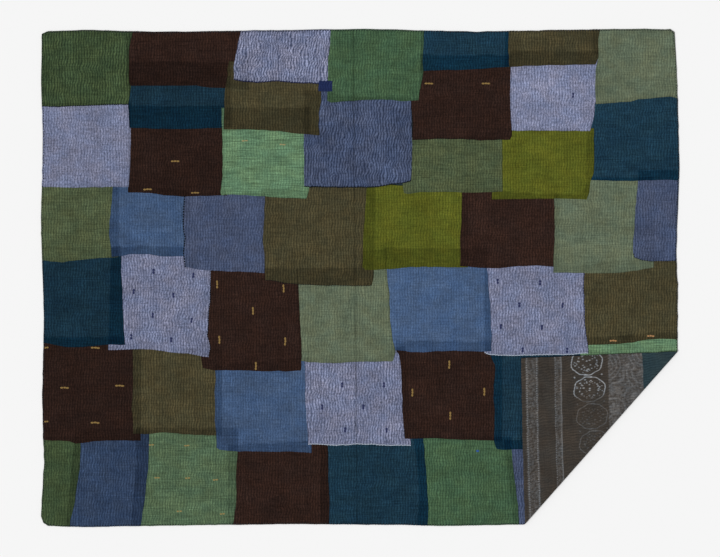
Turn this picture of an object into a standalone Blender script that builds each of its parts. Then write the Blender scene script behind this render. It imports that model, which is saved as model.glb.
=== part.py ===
"""Kantha quilt: a pieced top and a plain back quilted together, laid flat with one corner turned over.

Metres, +Z up. The quilt lies face up on Z = 0, with the origin under its middle, +X along its long
side and +Y towards its upper edge. Each cloth is made flat, as it was sewn, and then folded.
"""

import math
from typing import NamedTuple

import bmesh
import bpy
from mathutils import Matrix, Vector

OBJECT_NAME = "kantha_quilt"

BACK_THICKNESS = 0.0012
TOP_THICKNESS = 0.0014
CLOTH_GAP = 0.0003
MID_HEIGHT = BACK_THICKNESS + CLOTH_GAP / 2
TOP_UNDERSIDE = BACK_THICKNESS + CLOTH_GAP
TOP_FACE = TOP_UNDERSIDE + TOP_THICKNESS

# The running stitches draw the cloths into fine upright puckers. Each ridge here stands for two.
RIDGE_PITCH = 0.0162
TOP_RIDGE_HEIGHT = 0.0010
BACK_RIDGE_HEIGHT = 0.0007
RIDGE_UNEVENNESS = 0.25
RIDGE_WAVER = 0.0022
RIDGE_FADE = 0.030

# The corner turned over: where its outermost line meets the lower and the right edge.
FOLD_LOW = Vector((0.492, -0.741))
FOLD_HIGH = Vector((0.951, -0.222))
FOLD_ALONG = (FOLD_HIGH - FOLD_LOW).normalized()
FOLD_OUT = Vector((FOLD_ALONG.y, -FOLD_ALONG.x))
BEND_RADIUS = 0.0030
BEND_STEPS = 6
BEND_REACH = BEND_RADIUS + MID_HEIGHT

# The back is two cloths. Only the turned corner shows their outer faces, so only it has fine ridges.
BORDER_SHARE = 0.252
FLAP_SHARE = 0.735
COARSE_COLUMN = 0.075
BORDER_ROWS = (0.0, 0.085, 0.170)
FIELD_ROWS = (0.340, 0.560, 0.780, 1.0)

MEND_CENTRE = Vector((-0.103, 0.5755))
MEND_WIDTH = 0.041
MEND_HEIGHT = 0.032
MEND_THICKNESS = 0.0010
MEND_CORNER = 0.002
MEND_TURN = math.radians(-1.5)
MEND_UNDERSIDE = TOP_FACE + 0.8 * TOP_RIDGE_HEIGHT + CLOTH_GAP

FLAT_ANGLE = math.radians(0.005)
CREASE_ANGLE = math.radians(40)
SAME_PLACE = 1e-6


class EdgePoint(NamedTuple):
    x: float
    y: float


# The quilt's outline before the corner is turned over, edge by edge.
LOWER_EDGE = (
    EdgePoint(-0.951, -0.733),
    EdgePoint(-0.936, -0.744),
    EdgePoint(-0.828, -0.747),
    EdgePoint(-0.480, -0.741),
    EdgePoint(-0.180, -0.738),
    EdgePoint(0.120, -0.741),
    EdgePoint(0.270, -0.744),
    EdgePoint(0.492, -0.739),
    EdgePoint(0.740, -0.716),
    EdgePoint(0.991, -0.689),
)
UPPER_EDGE = (
    EdgePoint(-0.954, 0.733),
    EdgePoint(-0.940, 0.739),
    EdgePoint(-0.828, 0.744),
    EdgePoint(-0.618, 0.738),
    EdgePoint(-0.180, 0.744),
    EdgePoint(0.012, 0.747),
    EdgePoint(0.342, 0.738),
    EdgePoint(0.600, 0.744),
    EdgePoint(0.852, 0.747),
    EdgePoint(0.930, 0.746),
    EdgePoint(0.943, 0.738),
)
LEFT_EDGE = (
    EdgePoint(-0.951, -0.733),
    EdgePoint(-0.957, -0.715),
    EdgePoint(-0.948, -0.555),
    EdgePoint(-0.954, -0.360),
    EdgePoint(-0.948, -0.144),
    EdgePoint(-0.957, 0.168),
    EdgePoint(-0.951, 0.414),
    EdgePoint(-0.957, 0.600),
    EdgePoint(-0.954, 0.733),
)
RIGHT_EDGE = (
    EdgePoint(0.991, -0.689),
    EdgePoint(0.972, -0.450),
    EdgePoint(0.953, -0.216),
    EdgePoint(0.953, -0.020),
    EdgePoint(0.948, 0.072),
    EdgePoint(0.958, 0.336),
    EdgePoint(0.951, 0.600),
    EdgePoint(0.943, 0.738),
)


class TopRow(NamedTuple):
    up: float
    ridge_share: float


# Along the seams between rows of patches the puckers are pressed lower than between them.
TOP_ROWS = (
    TopRow(0.000, 0.30),
    TopRow(0.090, 1.00),
    TopRow(0.177, 0.45),
    TopRow(0.264, 0.90),
    TopRow(0.351, 0.50),
    TopRow(0.435, 1.00),
    TopRow(0.520, 0.40),
    TopRow(0.600, 0.95),
    TopRow(0.677, 0.45),
    TopRow(0.765, 1.00),
    TopRow(0.853, 0.50),
    TopRow(0.925, 1.00),
    TopRow(1.000, 0.30),
)


class FlapPoint(NamedTuple):
    run: float
    rise: float


# The turned corner in section, from where it leaves the bend to where it lies on the quilt.
FLAP_SETTLING = (
    FlapPoint(-0.018, 0.0056),
    FlapPoint(-0.040, 0.0049),
    FlapPoint(-0.065, 0.0046),
    FlapPoint(-0.400, 0.0046),
)


class Station(NamedTuple):
    length: float
    place: Vector
    mitre: Vector


class RidgeFade(NamedTuple):
    none_at: float
    full_at: float


def clear_scene():
    for obj in list(bpy.data.objects):
        bpy.data.objects.remove(obj, do_unlink=True)


def new_collection(name):
    collection = bpy.data.collections.new(name)
    bpy.context.scene.collection.children.link(collection)
    return collection


def cloth_material(name, colour, roughness):
    material = bpy.data.materials.new(name)
    material.use_nodes = True
    shader = material.node_tree.nodes["Principled BSDF"]
    shader.inputs["Base Color"].default_value = (*colour, 1.0)
    shader.inputs["Roughness"].default_value = roughness
    shader.inputs["Metallic"].default_value = 0.0
    return material


def point_on(edge, share, axis):
    """The point of an edge at a share of its extent along an axis."""
    target = edge[0][axis] + share * (edge[-1][axis] - edge[0][axis])
    for start, end in zip(edge, edge[1:]):
        if target <= end[axis] or end is edge[-1]:
            part = (target - start[axis]) / (end[axis] - start[axis])
            return Vector(start).lerp(Vector(end), min(max(part, 0.0), 1.0))


def flat_place(across, up):
    """The place at these shares of the flat quilt's width and height, blended from its four edges."""
    lower = point_on(LOWER_EDGE, across, 0)
    upper = point_on(UPPER_EDGE, across, 0)
    left = point_on(LEFT_EDGE, up, 1)
    right = point_on(RIGHT_EDGE, up, 1)
    lower_straight = Vector(LOWER_EDGE[0]).lerp(Vector(LOWER_EDGE[-1]), across)
    upper_straight = Vector(UPPER_EDGE[0]).lerp(Vector(UPPER_EDGE[-1]), across)
    return lower.lerp(upper, up) + left.lerp(right, across) - lower_straight.lerp(upper_straight, up)


def fold_stations():
    """The bend and the flap in section, as places on the line midway through the quilt."""
    places = []
    for step in range(BEND_STEPS + 1):
        angle = math.pi * step / BEND_STEPS
        places.append(BEND_RADIUS * Vector((math.sin(angle), 1 - math.cos(angle))))
    places += [Vector(point) for point in FLAP_SETTLING]
    headings = [Vector((1.0, 0.0))]
    headings += [(after - before).normalized() for before, after in zip(places, places[1:])]
    headings.append(Vector((-1.0, 0.0)))
    stations = []
    length = 0.0
    for index, place in enumerate(places):
        if index:
            length += (place - places[index - 1]).length
        before, after = (Vector((-way.y, way.x)) for way in headings[index : index + 2])
        stations.append(Station(length, place, (before + after) / (1 + before.dot(after))))
    return stations


def past_bend_start(point):
    """How far a place on the flat quilt lies beyond the line where it starts to bend."""
    return (point.xy - FOLD_LOW).dot(FOLD_OUT) + BEND_REACH


def folded(point, stations):
    """Where a point of the flat quilt lies once the corner is turned over."""
    length = past_bend_start(point)
    if length <= 0:
        return point
    offset = point.z - MID_HEIGHT
    for start, end in zip(stations, stations[1:]):
        if length <= end.length or end is stations[-1]:
            part = (length - start.length) / (end.length - start.length)
            section = (start.place + offset * start.mitre).lerp(end.place + offset * end.mitre, part)
            break
    along = (point.xy - FOLD_LOW).dot(FOLD_ALONG)
    ground = FOLD_LOW + along * FOLD_ALONG + (section.x - BEND_REACH) * FOLD_OUT
    return Vector((ground.x, ground.y, MID_HEIGHT + section.y))


def ridge_waver(across, up):
    """How far a ridge strays sideways at these shares of the quilt's width and height."""
    return RIDGE_WAVER * math.sin(26.0 * up + 26.0 * across) * math.sin(math.pi * across)


def unevenness(column, row):
    return 1 - RIDGE_UNEVENNESS * (0.5 + 0.5 * math.sin(0.9 * column + 2.4 * row))


def top_ridge(column, row):
    """How far the top's upper face stands up at a crossing of its net: every other column is a crest."""
    crest = column % 2
    return crest * TOP_RIDGE_HEIGHT * TOP_ROWS[row].ridge_share * unevenness(column, row)


def back_ridge(column, row):
    """How far the back's outer face stands out, which is downwards while the quilt is flat."""
    crest = column % 2
    return -crest * BACK_RIDGE_HEIGHT * unevenness(column, row)


def flat_slab(columns, rows, ridged_height, plain_height, ridge):
    """One flat cloth: a net of points on its ridged face, closed by a rim and one plain face."""
    slab = bmesh.new()
    bmesh.ops.create_grid(slab, x_segments=len(columns) - 1, y_segments=len(rows) - 1, size=0.5)
    for vertex in slab.verts:
        column = round((vertex.co.x + 0.5) * (len(columns) - 1))
        row = round((vertex.co.y + 0.5) * (len(rows) - 1))
        place = flat_place(columns[column], rows[row])
        waver = ridge_waver(columns[column], rows[row])
        vertex.co = (place.x + waver, place.y, ridged_height + ridge(column, row))
    outline = [edge for edge in slab.edges if edge.is_boundary]
    rim = bmesh.ops.extrude_edge_only(slab, edges=outline)["geom"]
    for vertex in (part for part in rim if isinstance(part, bmesh.types.BMVert)):
        vertex.co.z = plain_height
    bmesh.ops.contextual_create(slab, geom=[edge for edge in slab.edges if edge.is_boundary])
    bmesh.ops.recalc_face_normals(slab, faces=slab.faces)
    return slab


def turn_corner(slab, ridged_height, fade, stations):
    """Crease the flat cloth along each station, let its ridges fade, and fold it over."""
    creases = {*fade, *(station.length for station in stations[:-1])}
    for length in sorted(creases):
        line = FOLD_LOW + (length - BEND_REACH) * FOLD_OUT
        bmesh.ops.bisect_plane(
            slab,
            geom=[*slab.verts, *slab.edges, *slab.faces],
            dist=SAME_PLACE,
            plane_co=line.to_3d(),
            plane_no=FOLD_OUT.to_3d(),
        )
    ridges_up = ridged_height > MID_HEIGHT
    for vertex in slab.verts:
        ridge = vertex.co.z - ridged_height
        if (ridge > 0) == ridges_up:
            kept = (past_bend_start(vertex.co) - fade.none_at) / (fade.full_at - fade.none_at)
            vertex.co.z = ridged_height + ridge * min(max(kept, 0.0), 1.0)
        vertex.co = folded(vertex.co, stations)
    bmesh.ops.dissolve_limit(slab, angle_limit=FLAT_ANGLE, verts=slab.verts, edges=slab.edges)


def add_piece(collection, name, solid, material):
    mesh = bpy.data.meshes.new(name)
    solid.to_mesh(mesh)
    solid.free()
    mesh.shade_smooth()
    mesh.set_sharp_from_angle(angle=CREASE_ANGLE)
    mesh.materials.append(material)
    piece = bpy.data.objects.new(name, mesh)
    collection.objects.link(piece)
    return piece


def even_shares(start, end, count):
    return [start + (end - start) * step / count for step in range(count + 1)]


def pieced_top(collection, stations):
    width = UPPER_EDGE[-1].x - UPPER_EDGE[0].x
    columns = even_shares(0.0, 1.0, 2 * round(width / RIDGE_PITCH))
    rows = [row.up for row in TOP_ROWS]
    slab = flat_slab(columns, rows, TOP_FACE, TOP_UNDERSIDE, top_ridge)
    turn_corner(slab, TOP_FACE, RidgeFade(none_at=0.0, full_at=-RIDGE_FADE), stations)
    material = cloth_material("pieced_cotton", (0.150, 0.165, 0.140), 0.90)
    add_piece(collection, "pieced_top", slab, material)


def back_panel(collection, name, rows, material, stations):
    width = LOWER_EDGE[-1].x - LOWER_EDGE[0].x
    coarse = even_shares(0.0, FLAP_SHARE, round(FLAP_SHARE * width / COARSE_COLUMN))
    fine = even_shares(FLAP_SHARE, 1.0, 2 * round((1 - FLAP_SHARE) * width / RIDGE_PITCH))
    slab = flat_slab(coarse + fine[1:], rows, 0.0, BACK_THICKNESS, back_ridge)
    bend_end = stations[BEND_STEPS].length
    turn_corner(slab, 0.0, RidgeFade(none_at=bend_end, full_at=bend_end + RIDGE_FADE), stations)
    add_piece(collection, name, slab, material)


def back_panels(collection, stations):
    """The dark border along the lower edge and the teal field, a cloth gap apart at their seam."""
    height = UPPER_EDGE[0].y - LOWER_EDGE[0].y
    half_gap = CLOTH_GAP / height / 2
    border_rows = [*BORDER_ROWS, BORDER_SHARE - half_gap]
    field_rows = [BORDER_SHARE + half_gap, *FIELD_ROWS]
    dark = cloth_material("dark_border_cotton", (0.030, 0.026, 0.022), 0.90)
    teal = cloth_material("teal_cotton", (0.020, 0.080, 0.110), 0.90)
    back_panel(collection, "back_border_panel", border_rows, dark, stations)
    back_panel(collection, "back_field_panel", field_rows, teal, stations)


def mending_patch(collection):
    """The small navy cloth sewn over a seam near the upper edge."""
    solid = bmesh.new()
    bmesh.ops.create_cube(solid, matrix=Matrix.Diagonal((MEND_WIDTH, MEND_HEIGHT, MEND_THICKNESS, 1.0)))
    corners = [edge for edge in solid.edges if abs(edge.verts[0].co.z - edge.verts[1].co.z) > SAME_PLACE]
    bmesh.ops.bevel(solid, geom=corners, offset=MEND_CORNER, segments=2, affect="EDGES", profile=0.5)
    navy = cloth_material("navy_cotton", (0.018, 0.035, 0.130), 0.85)
    patch = add_piece(collection, "mending_patch", solid, navy)
    patch.location = (*MEND_CENTRE, MEND_UNDERSIDE + MEND_THICKNESS / 2)
    patch.rotation_euler.z = MEND_TURN


def main():
    clear_scene()
    collection = new_collection(OBJECT_NAME)
    stations = fold_stations()
    pieced_top(collection, stations)
    back_panels(collection, stations)
    mending_patch(collection)


main()
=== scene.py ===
"""Kantha quilt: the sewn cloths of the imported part, patch by patch, lying in its folds.

Each cloth is a thin sheet. It is laid out flat as it was sewn, puckered by the quilting, and then turned
over at the corner exactly as the CAD part is. Metres, in the part's frame. The patch table gives
millimetres to the right of and below the quilt's upper left corner, before the corner is turned over.
"""

import math
from typing import NamedTuple

import bpy
import numpy as np
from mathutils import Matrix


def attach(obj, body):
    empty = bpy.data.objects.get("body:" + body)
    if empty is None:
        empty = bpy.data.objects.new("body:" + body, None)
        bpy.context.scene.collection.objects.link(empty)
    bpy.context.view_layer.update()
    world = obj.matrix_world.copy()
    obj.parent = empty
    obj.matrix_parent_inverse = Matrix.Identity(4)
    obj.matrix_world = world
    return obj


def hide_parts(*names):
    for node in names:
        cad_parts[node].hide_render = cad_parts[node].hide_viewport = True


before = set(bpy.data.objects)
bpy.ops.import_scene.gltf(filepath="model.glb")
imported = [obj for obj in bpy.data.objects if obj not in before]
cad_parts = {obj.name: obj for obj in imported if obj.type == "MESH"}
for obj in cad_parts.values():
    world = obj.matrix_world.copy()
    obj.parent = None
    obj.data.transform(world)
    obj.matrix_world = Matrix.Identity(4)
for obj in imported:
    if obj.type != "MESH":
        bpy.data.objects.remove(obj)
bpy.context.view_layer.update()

MM = 0.001
TABLE_ORIGIN = (-0.957, 0.744)

# Heights of the cloths' faces over the surface that the quilt lies on.
MID_HEIGHT = 0.00135
TOP_HEIGHT = 0.0026
LAYER_STEP = 0.00042
EDGE_DROP = 0.00050
EDGE_DROP_REACH = 0.0015
RIM_REACH = 0.0026

PUCKER_PITCH = 0.0081
PUCKER_WAVER = 0.0044
PUCKER_LENGTH = 0.017
STITCH_ROW = 0.0062
FLAT_UNDER_FLAP = 0.030
SCALLOP = 0.0013

COLUMN = 0.0022
ROW = 0.0048
FINE_STEPS = (0.0, 0.0006, 0.0014, 0.0026)

FOLD_LOW = np.array([0.492, -0.741])
FOLD_HIGH = np.array([0.951, -0.222])
FOLD_ALONG = (FOLD_HIGH - FOLD_LOW) / np.linalg.norm(FOLD_HIGH - FOLD_LOW)
FOLD_OUT = np.array([FOLD_ALONG[1], -FOLD_ALONG[0]])
BEND_RADIUS = 0.0030
BEND_REACH = BEND_RADIUS + MID_HEIGHT
FLAP_RISE = 0.0046
FLAP_SETTLE = 0.065
FLAP_LENGTH = 0.45

BORDER_SHARE = 0.252

# The crease: its place at the upper edge, how it leans, and how much painted shade darkens it.
CREASE_TOP = -0.021
CREASE_LEAN = 0.008
CREASE_SHADE_DEPTH = 0.62

# The quilt's outline before the corner is turned over, the same as in the CAD part.
LOWER_EDGE = (
    (-0.951, -0.733), (-0.936, -0.744), (-0.828, -0.747), (-0.480, -0.741), (-0.180, -0.738),
    (0.120, -0.741), (0.270, -0.744), (0.492, -0.739), (0.740, -0.716), (0.991, -0.689),
)
UPPER_EDGE = (
    (-0.954, 0.733), (-0.940, 0.739), (-0.828, 0.744), (-0.618, 0.738), (-0.180, 0.744),
    (0.012, 0.747), (0.342, 0.738), (0.600, 0.744), (0.852, 0.747), (0.930, 0.746), (0.943, 0.738),
)
LEFT_EDGE = (
    (-0.951, -0.733), (-0.957, -0.715), (-0.948, -0.555), (-0.954, -0.360), (-0.948, -0.144),
    (-0.957, 0.168), (-0.951, 0.414), (-0.957, 0.600), (-0.954, 0.733),
)
RIGHT_EDGE = (
    (0.991, -0.689), (0.972, -0.450), (0.953, -0.216), (0.953, -0.020), (0.948, 0.072),
    (0.958, 0.336), (0.951, 0.600), (0.943, 0.738),
)
EDGE_AXES = {LOWER_EDGE: 0, UPPER_EDGE: 0, LEFT_EDGE: 1, RIGHT_EDGE: 1}


class Cloth(NamedTuple):
    colour: tuple
    pucker: float
    ripple: float
    waver: float
    sheer: float
    slubs: float
    speckle: float
    deepening: float


# Colours are display values from 0 to 255. The pucker is a crest's height in metres, and the ripple how far its colour
# swings from painted shade in the troughs to painted highlight on the crests, partly the cloth bunching denser in the
# troughs. The waver is how crooked the ripples run, against the usual.
# Sheer is the darkening where another cloth's margin lies
# beneath, slubs the strength of thicker threads, speckle that of the fine grain, and deepening how much
# purer the cloth's hue is where it lies double.
CLOTHS = {
    "moss": Cloth((60, 75, 50), 0.00060, 0.98, 0.75, 0.30, 0.60, 1.4, 0.0),
    "brown": Cloth((45, 30, 25), 0.00050, 0.66, 0.62, 0.18, 0.70, 1.70, 0.0),
    "umber": Cloth((45, 30, 25), 0.00050, 0.66, 0.62, 0.34, 0.70, 1.70, 0.0),
    "lavender": Cloth((115, 120, 145), 0.00078, 0.72, 0.80, 0.08, 0.46, 2.10, 0.0),
    "green": Cloth((65, 90, 65), 0.00060, 0.62, 0.60, 0.26, 0.60, 1.2, 0.0),
    "fern": Cloth((80, 100, 75), 0.00060, 0.58, 0.60, 0.22, 0.75, 1.2, 0.0),
    "teal": Cloth((25, 50, 65), 0.00045, 0.66, 0.70, 0.26, 0.80, 1.3, 3.0),
    "olive": Cloth((70, 65, 45), 0.00065, 0.74, 0.55, 0.32, 0.60, 1.2, 0.0),
    "sage": Cloth((95, 105, 85), 0.00054, 0.46, 0.60, 0.13, 0.60, 1.0, 0.0),
    "mint": Cloth((95, 125, 95), 0.00056, 0.42, 0.50, 0.16, 1.15, 1.0, 0.0),
    "slate": Cloth((70, 80, 105), 0.00070, 0.84, 0.85, 0.06, 0.46, 1.4, 0.6),
    "lime": Cloth((85, 90, 30), 0.00056, 0.50, 0.50, 0.28, 0.55, 1.0, 0.0),
    "hay": Cloth((75, 85, 60), 0.00056, 0.60, 0.50, 0.08, 0.75, 1.2, 0.0),
    "blue": Cloth((65, 85, 115), 0.00060, 0.46, 0.50, 0.28, 0.50, 1.20, 0.8),
    "denim": Cloth((50, 65, 90), 0.00066, 0.72, 0.70, 0.30, 0.50, 1.3, 0.6),
}


class Patch(NamedTuple):
    name: str
    cloth: str
    wash: float
    corners: tuple
    top: tuple = ()
    right: tuple = ()
    bottom: tuple = ()
    left: tuple = ()
    pucker: float = 1.0


# How far a cloth has washed out, against the usual.
DEEP = 0.85
USUAL = 1.0
FADED = 1.15

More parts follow.
